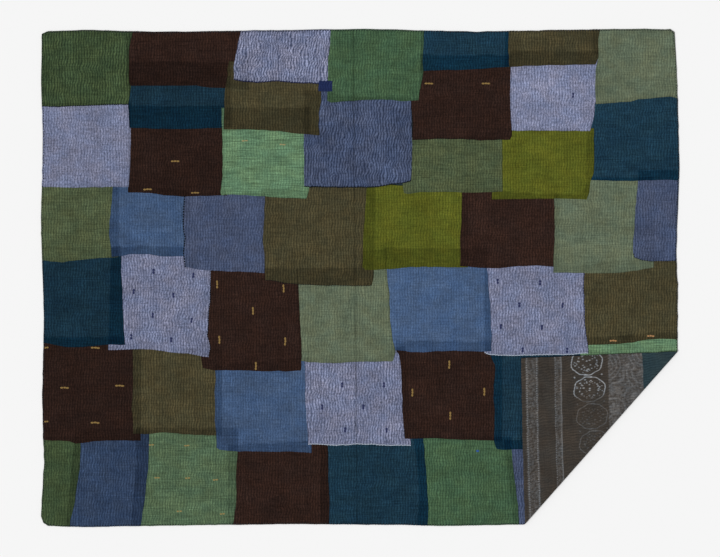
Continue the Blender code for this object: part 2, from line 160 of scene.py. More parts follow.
# Lowest first: each cloth is sewn over those before it. The corners are the upper left, the upper right,
# the lower right and the lower left one. A side lists the points where it bends, or is an edge of the quilt.
PATCHES = (
    Patch("brown_corner", "brown", USUAL, ((1671, 1218), (1930, 1218), (1948, 1433), (1671, 1465)),
          right=RIGHT_EDGE, bottom=LOWER_EDGE),
    Patch("olive_hidden", "olive", USUAL, ((1635, 960), (1920, 975), (1938, 1245), (1635, 1251)),
          right=RIGHT_EDGE),
    Patch("slate_strip", "slate", USUAL, ((1389, 1230), (1695, 1230), (1704, 1460), (1417, 1480)),
          bottom=LOWER_EDGE, left=((1398, 1320), (1410, 1410))),
    Patch("green_low", "green", USUAL, ((1116, 1221), (1411, 1221), (1435, 1483), (1129, 1486)),
          right=((1412, 1261), (1417, 1318), (1422, 1358), (1427, 1393), (1432, 1428)),
          bottom=LOWER_EDGE, left=((1127, 1293), (1132, 1343), (1135, 1393))),
    Patch("teal_low", "teal", USUAL, ((837, 1230), (1147, 1212), (1159, 1486), (837, 1482)),
          right=((1147, 1226), (1151, 1258), (1153, 1298), (1157, 1343), (1160, 1393), (1163, 1438)),
          bottom=LOWER_EDGE),
    Patch("brown_low", "umber", USUAL, ((560, 1245), (860, 1230), (865, 1482), (560, 1484)),
          right=((862, 1298), (862, 1348), (865, 1393)), bottom=LOWER_EDGE),
    Patch("fern_low", "fern", USUAL, ((285, 1194), (590, 1194), (577, 1484), (270, 1487)),
          right=((590, 1263), (587, 1298), (585, 1343), (587, 1388), (585, 1428), (580, 1458)),
          bottom=LOWER_EDGE, left=((285, 1318), (280, 1368), (275, 1418))),
    Patch("denim_low", "denim", USUAL, ((102, 1200), (325, 1194), (299, 1487), (75, 1490)),
          right=((325, 1230), (324, 1268), (321, 1318), (316, 1368), (310, 1418)), bottom=LOWER_EDGE),
    Patch("moss_corner", "moss", USUAL, ((6, 1221), (121, 1221), (88, 1490), (6, 1477)),
          right=((120, 1240), (118, 1278), (116, 1318), (110, 1358), (103, 1408), (95, 1448), (88, 1473)),
          bottom=LOWER_EDGE, left=LEFT_EDGE, pucker=0.75),
    Patch("brown_left", "brown", DEEP, ((12, 921), (300, 921), (300, 1232), (9, 1229)),
          bottom=((35, 1232), (60, 1231), (85, 1234), (105, 1240), (130, 1238), (165, 1233), (200, 1231)),
          left=LEFT_EDGE),
    Patch("olive_left", "olive", USUAL, ((275, 948), (543, 960), (543, 1218), (277, 1212)),
          bottom=((325, 1211), (355, 1208), (385, 1208), (425, 1212), (505, 1216)),
          left=((276, 1018), (277, 1068), (272, 1138), (277, 1168))),
    Patch("blue_low", "blue", USUAL, ((520, 1008), (811, 981), (812, 1269), (527, 1253)),
          bottom=((535, 1259), (560, 1262), (590, 1264), (627, 1264), (687, 1265), (747, 1264)),
          left=((523, 1023), (525, 1048), (521, 1088), (523, 1128), (521, 1168), (526, 1206))),
    Patch("lavender_low", "lavender", USUAL, ((790, 984), (1092, 948), (1109, 1246), (802, 1242)),
          top=((1035, 984), (1052, 954)),
          bottom=((847, 1243), (887, 1246), (917, 1244), (947, 1241), (997, 1243), (1047, 1246)),
          left=((793, 1043), (793, 1118), (797, 1168), (800, 1218)), pucker=1.15),
    Patch("brown_medium", "brown", USUAL, ((1065, 933), (1383, 933), (1383, 1233), (1091, 1226)),
          bottom=((1147, 1225), (1187, 1225), (1217, 1226), (1267, 1229)),
          left=((1064, 962), (1072, 971), (1078, 993), (1082, 1058), (1085, 1158))),
    Patch("teal_medium", "teal", USUAL, ((1335, 960), (1653, 960), (1653, 1257), (1366, 1256)),
          bottom=((1387, 1259), (1442, 1258), (1557, 1258)),
          left=((1347, 976), (1361, 1003), (1363, 1020), (1358, 1068), (1357, 1103), (1360, 1128),
                (1361, 1168), (1359, 1232))),
    Patch("mint_strip", "mint", USUAL, ((1617, 924), (1912, 906), (1918, 1002), (1617, 1014)),
          right=RIGHT_EDGE),
    Patch("olive_right", "olive", USUAL, ((1620, 708), (1909, 678), (1912, 928), (1629, 945)),
          top=((1827, 678),), right=RIGHT_EDGE,
          bottom=((1641, 946), (1662, 944), (1727, 943), (1752, 940), (1787, 935), (1817, 929), (1857, 926)),
          ),
    Patch("lavender_right", "lavender", USUAL, ((1329, 696), (1630, 714), (1642, 968), (1330, 967)),
          right=((1630, 732), (1627, 771), (1630, 825), (1632, 891), (1636, 920), (1641, 951)),
          bottom=((1342, 973), (1377, 975), (1427, 976), (1477, 975), (1527, 973), (1597, 973))),
    Patch("blue_bright", "blue", FADED, ((1029, 654), (1338, 654), (1351, 964), (1053, 960)),
          right=((1338, 715), (1341, 740), (1343, 780), (1348, 820), (1349, 870), (1352, 920)),
          bottom=((1072, 961), (1107, 965), (1127, 967), (1167, 965), (1227, 962), (1287, 964)),
          left=((1043, 900),), pucker=0.9),
    Patch("sage_medium", "sage", USUAL, ((765, 715), (1036, 660), (1057, 991), (774, 992)),
          top=((957, 715), (963, 660)),
          right=((1038, 717), (1040, 750), (1045, 790), (1048, 875), (1054, 920), (1063, 965)),
          bottom=((807, 997), (877, 999), (927, 997), (992, 995), (1052, 994)), left=((768, 810),)),
    Patch("brown_centre", "brown", USUAL, ((486, 706), (770, 718), (780, 1021), (485, 1014)),
          right=((773, 780), (777, 870), (781, 930), (783, 981)),
          bottom=((505, 1017), (520, 1021), (627, 1022), (667, 1025), (717, 1022), (737, 1024)),
          left=((480, 981),)),
    Patch("lavender_centre", "lavender", USUAL, ((210, 651), (510, 651), (503, 981), (202, 960)),
          right=((510, 750), (508, 810), (502, 864), (500, 915), (508, 951)),
          bottom=((250, 959), (305, 957), (335, 959), (360, 963), (395, 967), (435, 970), (485, 979)),
          pucker=1.1),
    Patch("teal_left", "teal", DEEP, ((9, 651), (241, 651), (253, 945), (14, 938)),
          right=((241, 729), (245, 780), (247, 849), (249, 900)),
          bottom=((45, 946), (75, 951), (126, 951), (174, 946), (204, 943)), left=LEFT_EDGE),
    Patch("hay_left", "hay", USUAL, ((5, 462), (234, 462), (232, 682), (6, 691)),
          bottom=((36, 695), (66, 697), (105, 691), (150, 686)), left=LEFT_EDGE),
    Patch("olive_large", "olive", USUAL, ((660, 480), (1002, 462), (992, 767), (673, 750)),
          right=((1000, 690), (998, 740), (994, 760)),
          bottom=((687, 751), (732, 759), (772, 763), (842, 766), (917, 767)),
          left=((657, 630), (660, 714), (673, 729))),
    Patch("blue_left", "blue", USUAL, ((217, 462), (441, 483), (438, 678), (212, 682)),
          bottom=((241, 679), (264, 673), (325, 673), (354, 679), (384, 679)),
          left=((211, 531), (206, 576), (205, 615), (210, 651))),
    Patch("slate_left", "slate", USUAL, ((432, 489), (672, 489), (671, 729), (432, 711)),
          right=((670, 560), (665, 635), (670, 670)), bottom=((477, 720), (561, 724), (645, 727)),
          left=((427, 549), (427, 594), (433, 624), (427, 666)), pucker=0.85),
    Patch("lime_centre", "lime", USUAL, ((973, 462), (1281, 474), (1282, 712), (965, 711)),
          bottom=((973, 719), (1002, 720), (1047, 717), (1087, 713), (1127, 711), (1257, 712)),
          left=((977, 472), (973, 540), (968, 600), (966, 650))),
    Patch("brown_right", "brown", FADED, ((1263, 477), (1551, 495), (1551, 711), (1258, 708)),
          bottom=((1282, 710), (1317, 714), (1377, 714), (1437, 709), (1487, 706), (1533, 710)),
          left=((1261, 570), (1257, 620))),
    Patch("sage_right", "sage", USUAL, ((1539, 492), (1836, 441), (1838, 712), (1537, 728)),
          top=((1625, 492), (1641, 441)),
          bottom=((1587, 729), (1652, 730), (1727, 729), (1752, 727), (1797, 720), (1827, 715)),
          left=((1539, 510), (1542, 600), (1538, 660))),
    Patch("slate_right", "slate", USUAL, ((1791, 420), (1914, 420), (1909, 692), (1776, 670)),
          right=RIGHT_EDGE, bottom=((1780, 682), (1802, 691), (1827, 694), (1877, 694)),
          left=((1791, 450), (1784, 525), (1777, 630)), pucker=0.85),
    Patch("teal_right", "teal", FADED, ((1638, 213), (1911, 195), (1915, 451), (1635, 449)),
          right=RIGHT_EDGE, bottom=((1728, 453), (1797, 452), (1878, 449))),
    Patch("lime_right", "lime", USUAL, ((1353, 294), (1659, 294), (1636, 509), (1353, 508)),
          right=((1659, 426), (1649, 450), (1645, 489)), bottom=((1428, 507), (1527, 506), (1617, 507))),
    Patch("hay_centre", "hay", USUAL, ((1083, 321), (1384, 321), (1385, 485), (1090, 490)),
          bottom=((1101, 492), (1137, 487), (1218, 486), (1287, 488)), left=((1084, 462),)),
    Patch("brown_upper", "brown", DEEP, ((258, 228), (549, 228), (558, 496), (262, 488)),
          right=((549, 465),), bottom=((325, 489), (380, 497), (425, 500))),
    Patch("lavender_left", "lavender", USUAL, ((8, 219), (270, 219), (264, 472), (6, 471)),
          right=((270, 297), (269, 363)), bottom=((84, 473), (215, 471)), left=LEFT_EDGE, pucker=0.85),
    Patch("teal_upper", "teal", DEEP, ((261, 96), (570, 96), (570, 295), (266, 294)),
          bottom=((345, 296), (384, 298), (540, 294)), left=((262, 228), (263, 252))),
    Patch("mint_centre", "mint", USUAL, ((541, 233), (807, 234), (797, 506), (542, 497)),
          right=((807, 450), (804, 483)), bottom=((555, 493), (624, 496), (672, 500), (714, 503)),
          left=((545, 339), (545, 438), (538, 489))),
    Patch("slate_centre", "slate", USUAL, ((789, 180), (1112, 201), (1110, 453), (790, 469)),
          top=((870, 180), (900, 200)), right=((1110, 213), (1112, 288), (1114, 357), (1112, 438)),
          bottom=((845, 472), (997, 472), (1050, 463), (1080, 460)), left=((788, 315),), pucker=1.25),
    Patch("brown_top", "brown", USUAL, ((1137, 75), (1413, 75), (1406, 329), (1114, 330)),
          right=((1415, 270), (1413, 318)), bottom=((1176, 327), (1266, 327), (1317, 331)),
          left=((1134, 204), (1110, 210), (1112, 237), (1115, 288))),
    Patch("lavender_light", "lavender", FADED, ((1407, 63), (1671, 63), (1647, 303), (1413, 302)),
          right=((1671, 200), (1662, 223), (1658, 267)), left=((1408, 114), (1407, 189), (1409, 267)),
          pucker=0.95),
    Patch("sage_corner", "sage", USUAL, ((1653, 3), (1900, 6), (1911, 204), (1664, 222)),
          top=UPPER_EDGE, right=RIGHT_EDGE,
          bottom=((1728, 218), (1767, 215), (1791, 208), (1857, 203), (1887, 200)),
          left=((1655, 66), (1672, 76), (1664, 118), (1662, 188))),
    Patch("olive_top", "olive", USUAL, ((1392, 5), (1677, 4), (1663, 105), (1392, 113)),
          top=UPPER_EDGE, right=((1672, 27), (1673, 63), (1671, 83)),
          bottom=((1467, 108), (1551, 106), (1626, 104))),
    Patch("teal_top", "teal", FADED, ((1140, 5), (1403, 5), (1405, 111), (1137, 125)),
          top=UPPER_EDGE, right=((1402, 63),), bottom=((1176, 122), (1287, 119), (1357, 114))),
    Patch("green_top", "green", USUAL, ((861, 2), (1150, 5), (1132, 212), (859, 214)),
          top=UPPER_EDGE, right=((1148, 39), (1145, 99), (1147, 128), (1141, 158), (1135, 188)),
          bottom=((870, 218), (925, 213), (1025, 208), (1080, 214))),
    Patch("brown_first", "umber", USUAL, ((255, 6), (624, 4), (624, 180), (255, 167)),
          top=UPPER_EDGE, bottom=((465, 167), (504, 173), (552, 174))),
    Patch("moss_top", "moss", USUAL, ((3, 11), (276, 7), (262, 223), (8, 229)),
          top=UPPER_EDGE, right=((271, 27), (264, 63), (264, 156), (270, 170)),
          bottom=((60, 230), (135, 227)), left=LEFT_EDGE),
    Patch("olive_upper", "olive", USUAL, ((564, 93), (843, 147), (836, 316), (548, 299)),
          top=((585, 96), (600, 138), (700, 144)), right=((841, 207), (835, 248), (833, 283)),
          bottom=((624, 299), (714, 303), (759, 311), (788, 313)),
          left=((560, 120), (558, 150), (552, 177), (550, 228)), pucker=0.9),
    Patch("lavender_top", "lavender", USUAL, ((600, 5), (870, 2), (860, 162), (579, 148)),
          top=UPPER_EDGE, right=((868, 33), (862, 87)),
          bottom=((600, 153), (650, 157), (710, 153), (750, 158), (832, 161)),
          left=((592, 38), (583, 78), (578, 108)), pucker=1.45),
)


def smooth(value, low, high):
    share = np.clip((value - low) / (high - low), 0.0, 1.0)
    return share * share * (3 - 2 * share)


def noise(x, y, seed):
    """Smooth noise from -1 to 1 with cells of one unit."""
    column = np.floor(x).astype(np.int64)
    row = np.floor(y).astype(np.int64)
    across = x - column
    up = y - row
    across = across * across * (3 - 2 * across)
    up = up * up * (3 - 2 * up)

    def corner(right, above):
        mixed = (column + right) * 73856093 ^ (row + above) * 19349663 ^ (seed + 11) * 83492791
        mixed = (mixed ^ (mixed >> 13)) * 60493 & 0xFFFFFF
        mixed = (mixed ^ (mixed >> 9)) * 9277 & 0xFFFFFF
        return mixed / 0x7FFFFF - 1

    lower = corner(0, 0) * (1 - across) + corner(1, 0) * across
    upper = corner(0, 1) * (1 - across) + corner(1, 1) * across
    return lower * (1 - up) + upper * up


def linear(display):
    """Scene-linear colour of a display colour from 0 to 255."""
    share = np.array(display, float) / 255
    return np.where(share <= 0.04045, share / 12.92, ((share + 0.055) / 1.055) ** 2.4)


def pucker_wave(x, y, crookedness=1.0):
    """The quilting's ripple over the flat quilt, 0 in its troughs and 1 on its crests."""
    waver = noise(x / 0.045, y / PUCKER_LENGTH, 1) + 0.60 * noise(x / 0.014, y / (0.50 * PUCKER_LENGTH), 2)
    shift = PUCKER_WAVER * crookedness * waver
    wave = (0.5 + 0.5 * np.sin(2 * math.pi * (x + shift) / PUCKER_PITCH)) ** 0.75
    unevenness = 0.74 + 0.26 * noise(x / 0.0085, y / 0.012, 3)
    return wave * unevenness * (0.85 + 0.15 * noise(x / 0.09, y / 0.07, 4))


def wandering(points):
    """Flat places moved by under a millimetre, as hand-cut and hand-sewn edges wander."""
    x, y = points[:, 0], points[:, 1]
    scallop = SCALLOP * (pucker_wave(x, y) - 0.4)
    return np.column_stack([
        x + 0.0010 * noise(x / 0.028, y / 0.019, 5) + 0.0003 * noise(x / 0.007, y / 0.006, 6),
        y + 0.0010 * noise(x / 0.019, y / 0.028, 7) - scallop,
    ])


def signed_depth(points, polygon):
    """How far points lie inside a closed polygon, negative outside it."""
    nearest = np.full(len(points), np.inf)
    inside = np.zeros(len(points), bool)
    for start, end in zip(polygon, np.roll(polygon, -1, axis=0)):
        way = end - start
        offset = points - start
        share = np.clip(offset @ way / max(way @ way, 1e-12), 0, 1)
        nearest = np.minimum(nearest, np.linalg.norm(offset - share[:, None] * way, axis=1))
        crosses = (start[1] > points[:, 1]) != (end[1] > points[:, 1])
        if crosses.any():
            meets = start[0] + (points[:, 1] - start[1]) / (end[1] - start[1]) * way[0]
            inside ^= crosses & (points[:, 0] < meets)
    return np.where(inside, nearest, -nearest)


def near(points, polygon, reach):
    """Which points lie in a polygon's box, widened by a reach."""
    low = polygon.min(axis=0) - reach
    high = polygon.max(axis=0) + reach
    return np.all((points > low) & (points < high), axis=1)


def flap_section():
    """The turned corner in section: length past the start of the bend, place and outward direction."""
    angles = np.linspace(0, math.pi, 33)
    bend = BEND_RADIUS * np.column_stack([np.sin(angles), 1 - np.cos(angles)])
    runs = np.linspace(0, FLAP_SETTLE, 40)[1:]
    rises = FLAP_RISE + (2 * BEND_RADIUS - FLAP_RISE) * (0.5 + 0.5 * np.cos(math.pi * runs / FLAP_SETTLE))
    places = np.vstack([bend, np.column_stack([-runs, rises]), [[-FLAP_LENGTH, FLAP_RISE]]])
    lengths = np.concatenate([[0], np.cumsum(np.linalg.norm(np.diff(places, axis=0), axis=1))])
    ways = np.gradient(places, lengths, axis=0)
    ways /= np.linalg.norm(ways, axis=1)[:, None]
    return lengths, places, np.column_stack([-ways[:, 1], ways[:, 0]])


SECTION_LENGTHS, SECTION_PLACES, SECTION_NORMALS = flap_section()


def past_bend(points):
    """How far flat places lie beyond the line where the quilt starts to bend."""
    return (points - FOLD_LOW) @ FOLD_OUT + BEND_REACH


def folded(points, heights):
    """Where flat places at these heights lie once the corner is turned over."""
    lengths = past_bend(points)
    turned = lengths > 0
    offset = heights - MID_HEIGHT
    section = np.column_stack([
        np.interp(lengths, SECTION_LENGTHS, SECTION_PLACES[:, axis])
        + offset * np.interp(lengths, SECTION_LENGTHS, SECTION_NORMALS[:, axis])
        for axis in (0, 1)
    ])
    along = (points - FOLD_LOW) @ FOLD_ALONG
    ground = FOLD_LOW + np.outer(along, FOLD_ALONG) + np.outer(section[:, 0] - BEND_REACH, FOLD_OUT)
    place = np.where(turned[:, None], ground, points)
    height = np.where(turned, MID_HEIGHT + section[:, 1], heights)
    return np.column_stack([place, height])


def flat_outline():
    sides = [LOWER_EDGE, RIGHT_EDGE, UPPER_EDGE[::-1], LEFT_EDGE[::-1]]
    return np.array([point for side in sides for point in side[:-1]])


OUTLINE = flat_outline()


def on_edge(edge, point):
    """The point of a quilt edge beside or over a place."""
    axis = EDGE_AXES[edge]
    table = np.array(edge)
    place = np.array(point, float)
    place[1 - axis] = np.interp(place[axis], table[:, axis], table[:, 1 - axis])
    return place


def side_line(start, bends, end):
    """A patch's side as points from start to end."""
    if bends not in EDGE_AXES:
        middle = [(TABLE_ORIGIN[0] + right * MM, TABLE_ORIGIN[1] - down * MM) for right, down in bends]
        return np.array([start, *middle, end])
    axis = EDGE_AXES[bends]
    low, high = sorted((start[axis], end[axis]))
    between = [point for point in bends if low + 0.002 < point[axis] < high - 0.002]
    if start[axis] > end[axis]:
        between.reverse()
    return np.array([start, *between, end])


def patch_sides(patch):
    """A patch's top, right, bottom and left lines, running rightwards and downwards."""
    corners = [np.array((TABLE_ORIGIN[0] + right * MM, TABLE_ORIGIN[1] - down * MM))
               for right, down in patch.corners]
    around = (patch.top, patch.right, patch.bottom, patch.left)
    for index in range(4):
        for bends in (around[index - 1], around[index]):
            if bends in EDGE_AXES:
                corners[index] = on_edge(bends, corners[index])
    upper_left, upper_right, lower_right, lower_left = corners
    return (
        side_line(upper_left, patch.top, upper_right),
        side_line(upper_right, patch.right, lower_right),
        side_line(lower_left, patch.bottom, lower_right),
        side_line(upper_left, patch.left, lower_left),
    )


def closed_line(sides):
    top, right, bottom, left = sides
    return np.vstack([top[:-1], right[:-1], bottom[::-1][:-1], left[::-1][:-1]])


def line_length(line):
    return np.linalg.norm(np.diff(line, axis=0), axis=1).sum()


def at_shares(line, shares):
    lengths = np.concatenate([[0], np.cumsum(np.linalg.norm(np.diff(line, axis=0), axis=1))])
    stops = shares * lengths[-1]
    return np.column_stack([np.interp(stops, lengths, line[:, axis]) for axis in (0, 1)])


def graded(length, step):
    """Stops along a side, close together near its two ends, as shares of its length."""
    inner = np.linspace(FINE_STEPS[-1], length - FINE_STEPS[-1], max(2, round(length / step)))
    start = np.array(FINE_STEPS[:-1])
    return np.concatenate([start, inner, length - start[::-1]]) / length


def net_between(sides, across, down):
    """A net of flat places filling four sides, row by row from the top."""
    top, right, bottom, left = sides
    upper, lower = at_shares(top, across), at_shares(bottom, across)
    before, after = at_shares(left, down), at_shares(right, down)
    u, v = across[None, :, None], down[:, None, None]
    rows = (1 - v) * upper[None] + v * lower[None]
    columns = (1 - u) * before[:, None] + u * after[:, None]
    plane = (1 - v) * ((1 - u) * top[0] + u * top[-1]) + v * ((1 - u) * bottom[0] + u * bottom[-1])
    return rows + columns - plane


def net_faces(row_count, column_count, first=0):
    index = np.arange(row_count * column_count).reshape(row_count, column_count) + first
    return np.column_stack([
        index[1:, :-1].ravel(), index[1:, 1:].ravel(), index[:-1, 1:].ravel(), index[:-1, :-1].ravel(),
    ])


def cloth_mesh(name, points, faces, material, **facts):
    """A smooth mesh object on the quilt's body. Each fact is an attribute of one or three numbers."""
    mesh = bpy.data.meshes.new(name)
    mesh.vertices.add(len(points))
    mesh.vertices.foreach_set("co", points.astype(np.float32).ravel())
    mesh.loops.add(faces.size)
    mesh.loops.foreach_set("vertex_index", faces.astype(np.int32).ravel())
    mesh.polygons.add(len(faces))
    mesh.polygons.foreach_set("loop_start", np.arange(0, faces.size, faces.shape[1], dtype=np.int32))
    mesh.update(calc_edges=True)
    mesh.validate()
    mesh.shade_smooth()
    mesh.materials.append(material)
    for fact, values in facts.items():
        kind, field = ("FLOAT", "value") if values.ndim == 1 else ("FLOAT_VECTOR", "vector")
        attribute = mesh.attributes.new(fact, kind, "POINT")
        attribute.data.foreach_set(field, values.astype(np.float32).ravel())
    piece = bpy.data.objects.new(name, mesh)
    bpy.context.scene.collection.objects.link(piece)
    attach(piece, "root")
    return piece


def crease_shade(points):
    """Painted shade along the line where the quilt has long been folded in half: how much darker the cloth is there.
    """
    x, y = points[:, 0], points[:, 1]
    middle = CREASE_TOP + (TABLE_ORIGIN[1] - y) * CREASE_LEAN + 0.0012 * noise(x / 0.04, y / 0.030, 8)
    depth = 0.5 + 0.5 * noise(x / 0.03, y / 0.055, 9)
    return CREASE_SHADE_DEPTH * depth * np.exp(-((x - middle) / 0.0027) ** 2)


class PatchLay(NamedTuple):
    patch: Patch
    sides: tuple
    polygon: np.ndarray


def lay_patch(rank, lays):
    """Shape and colour of one patch among those under and over it."""
    lay = lays[rank]
    cloth = CLOTHS[lay.patch.cloth]
    top, right, bottom, left = lay.sides
    width = (line_length(top) + line_length(bottom)) / 2
    height = (line_length(left) + line_length(right)) / 2
    across, down = graded(width, COLUMN), graded(height, ROW)
    net = net_between(lay.sides, across, down)
    points = net.reshape(-1, 2)
    u, v = np.meshgrid(across, down)
    own_edge = np.minimum(np.minimum(u, 1 - u) * width, np.minimum(v, 1 - v) * height).ravel()

    layers = np.zeros(len(points))
    covered = np.full(len(points), -1.0)
    colour = linear(cloth.colour) * lay.patch.wash
    tint = np.tile(colour, (len(points), 1))
    for other_rank, other in enumerate(lays):
        if other_rank == rank:
            continue
        close = near(points, other.polygon, 0.010)
        if not close.any():
            continue
        depth = np.full(len(points), -1.0)
        depth[close] = signed_depth(points[close], other.polygon)
        if other_rank > rank:
            covered = np.maximum(covered, depth)
            continue
        layers += smooth(depth, -0.0015, 0.0008)
        shade = cloth.sheer * smooth(depth, -0.0008, 0.0008)[:, None]
        tint = tint * (1 - shade) * (1 - cloth.deepening * shade * (1 - colour / colour.max()) ** 2)

    hidden = smooth(covered, -0.0015, 0.0010)
    calm = (1 - 0.45 * (1 - smooth(own_edge, 0.0, 0.007))) * (1 - 0.45 * smooth(covered, -0.008, 0.0))
    before_bend = smooth(-past_bend(points), 0.0, FLAT_UNDER_FLAP)
    strength = cloth.pucker * lay.patch.pucker * calm * (1 - 0.7 * hidden) * (0.12 + 0.88 * before_bend)
    wave = pucker_wave(points[:, 0], points[:, 1], cloth.waver * lay.patch.pucker)
    heights = TOP_HEIGHT + LAYER_STEP * np.minimum(layers, 2.2) + strength * wave - 0.00035 * hidden
    heights -= EDGE_DROP * (1 - np.clip(own_edge / EDGE_DROP_REACH, 0, 1)) ** 2
    rim = np.clip(signed_depth(points, OUTLINE) / RIM_REACH, 0, 1)
    heights = MID_HEIGHT + (heights - MID_HEIGHT) * np.sqrt(1 - (1 - rim) ** 2)
    # Painted shade in the ripple's troughs and painted highlight on its crests; ripple sets how strong they are.
    ripple = min(1.25, cloth.ripple * lay.patch.pucker ** 1.5)
    crest = 0.5 + ripple * (wave - 0.40)
    # Painted shade where the quilt's outer edge rolls down: darker near the outline.
    tint = tint * (0.74 + 0.26 * smooth(rim, 0.0, 1.0))[:, None]
    # Darker along the patch's own edge: painted shadow of its raised edge, partly the hem's stitch line.
    tint = tint * (0.78 + 0.22 * smooth(own_edge, 0.0, 0.0030))[:, None]
    # Painted shade along the crease.
    tint = tint * (1 - crease_shade(points))[:, None]
    place = folded(wandering(points), heights)
    faces = net_faces(len(down), len(across))
    return place, faces, tint, crest, own_edge, width, height


class Shade:
    """A short way to write a material's node tree."""

    def __init__(self, name, roughness):
        self.material = bpy.data.materials.new(name)
        self.material.use_nodes = True
        self.tree = self.material.node_tree
        self.shader = self.tree.nodes["Principled BSDF"]
        self.shader.inputs["Roughness"].default_value = roughness
        self.shader.inputs["Specular IOR Level"].default_value = 0.04

    def node(self, kind, **inputs):
        made = self.tree.nodes.new(kind)
        for name, value in inputs.items():
            self.feed(made.inputs[name.replace("_", " ")], value)
        return made

    def feed(self, target, value):
        if isinstance(value, bpy.types.NodeSocket):
            self.tree.links.new(value, target)
        else:
            target.default_value = value

    def math(self, operation, *values, clamp=False):
        made = self.tree.nodes.new("ShaderNodeMath")
        made.operation = operation
        made.use_clamp = clamp
        for target, value in zip(made.inputs, values):
            self.feed(target, value)
        return made.outputs[0]

    def fact(self, name, output="Fac"):
        made = self.tree.nodes.new("ShaderNodeAttribute")
        made.attribute_name = name
        return made.outputs[output]

    def place(self, scale):
        """The flat quilt's place of each point, in units of the given sizes."""
        made = self.tree.nodes.new("ShaderNodeVectorMath")
        made.operation = "MULTIPLY"
        self.feed(made.inputs[0], self.fact("flat_place", "Vector"))
        made.inputs[1].default_value = [1 / size for size in scale]
        return made.outputs[0]

    def noise(self, scale, detail=2.0, rough=0.5):
        made = self.node("ShaderNodeTexNoise", Vector=self.place(scale))
        made.inputs["Scale"].default_value = 1.0
        made.inputs["Detail"].default_value = detail
        made.inputs["Roughness"].default_value = rough
        return made.outputs[0]

    def range(self, value, low, high, new_low, new_high):
        made = self.tree.nodes.new("ShaderNodeMapRange")
        for index, item in enumerate((value, low, high, new_low, new_high)):
            self.feed(made.inputs[index], item)
        return made.outputs[0]

    def scaled(self, colour, factor):
        made = self.tree.nodes.new("ShaderNodeVectorMath")
        made.operation = "SCALE"
        self.feed(made.inputs[0], colour)
        self.feed(made.inputs["Scale"], factor)
        return made.outputs[0]

    def times(self, first, second):
        made = self.tree.nodes.new("ShaderNodeVectorMath")
        made.operation = "MULTIPLY"
        self.feed(made.inputs[0], first)
        self.feed(made.inputs[1], second)
        return made.outputs[0]

    def mixed(self, factor, first, second):
        made = self.tree.nodes.new("ShaderNodeMix")
        made.data_type = "RGBA"
        self.feed(made.inputs[0], factor)
        self.feed(made.inputs[6], first)
        self.feed(made.inputs[7], second)
        return made.outputs[2]


def weave_height(shade):
    """Warp and weft threads of a plain weave, 0 between them and 1 on their tops."""
    warp = shade.tree.nodes.new("ShaderNodeTexWave")
    weft = shade.tree.nodes.new("ShaderNodeTexWave")
    for wave, direction in ((warp, "X"), (weft, "Y")):
        wave.bands_direction = direction
        shade.feed(wave.inputs["Vector"], shade.place((0.0016, 0.0018, 1.0)))
        wave.inputs["Scale"].default_value = 0.31831
        wave.inputs["Distortion"].default_value = 1.2
        wave.inputs["Detail"].default_value = 1.0
        wave.inputs["Detail Scale"].default_value = 0.6
    return shade.math("MAXIMUM", warp.outputs["Fac"], weft.outputs["Fac"])


def running_stitches(shade):
    """The quilting stitches, in rows across the ripples: the thread, and the dimple that it pulls down."""
    split = shade.node("ShaderNodeSeparateXYZ", Vector=shade.place((PUCKER_PITCH, STITCH_ROW, 1.0)))
    wander = shade.range(shade.noise((0.060, 0.050, 1.0)), 0.0, 1.0, -0.9, 0.9)
    row = shade.math("ADD", split.outputs[1], wander)
    offset = shade.math("MULTIPLY", shade.math("FLOOR", row), 0.37)
    along = shade.math("FRACT", shade.math("ADD", split.outputs[0], offset))
    from_middle = shade.math("ABSOLUTE", shade.math("SUBTRACT", along, 0.5))
    from_row = shade.math("ABSOLUTE", shade.math("SUBTRACT", shade.math("FRACT", row), 0.5))
    length = shade.range(from_middle, 0.21, 0.25, 1.0, 0.0)
    thread = shade.math("MULTIPLY", length, shade.range(from_row, 0.05, 0.07, 1.0, 0.0))
    dimple = shade.math("MULTIPLY", length, shade.range(from_row, 0.05, 0.20, 1.0, 0.0))
    return thread, dimple


# Painted shade in a ripple's trough and painted highlight on its crest, partly the cloth bunching denser in the
# troughs, and what the cloth's cooler and warmer places do to its colour.
TROUGH_SHADE = (0.16, 0.21, 0.30, 1.0)
CREST_HIGHLIGHT = (1.84, 1.79, 1.70, 1.0)
COOLER = (0.95, 0.995, 1.035, 1.0)
WARMER = (1.05, 1.005, 0.965, 1.0)


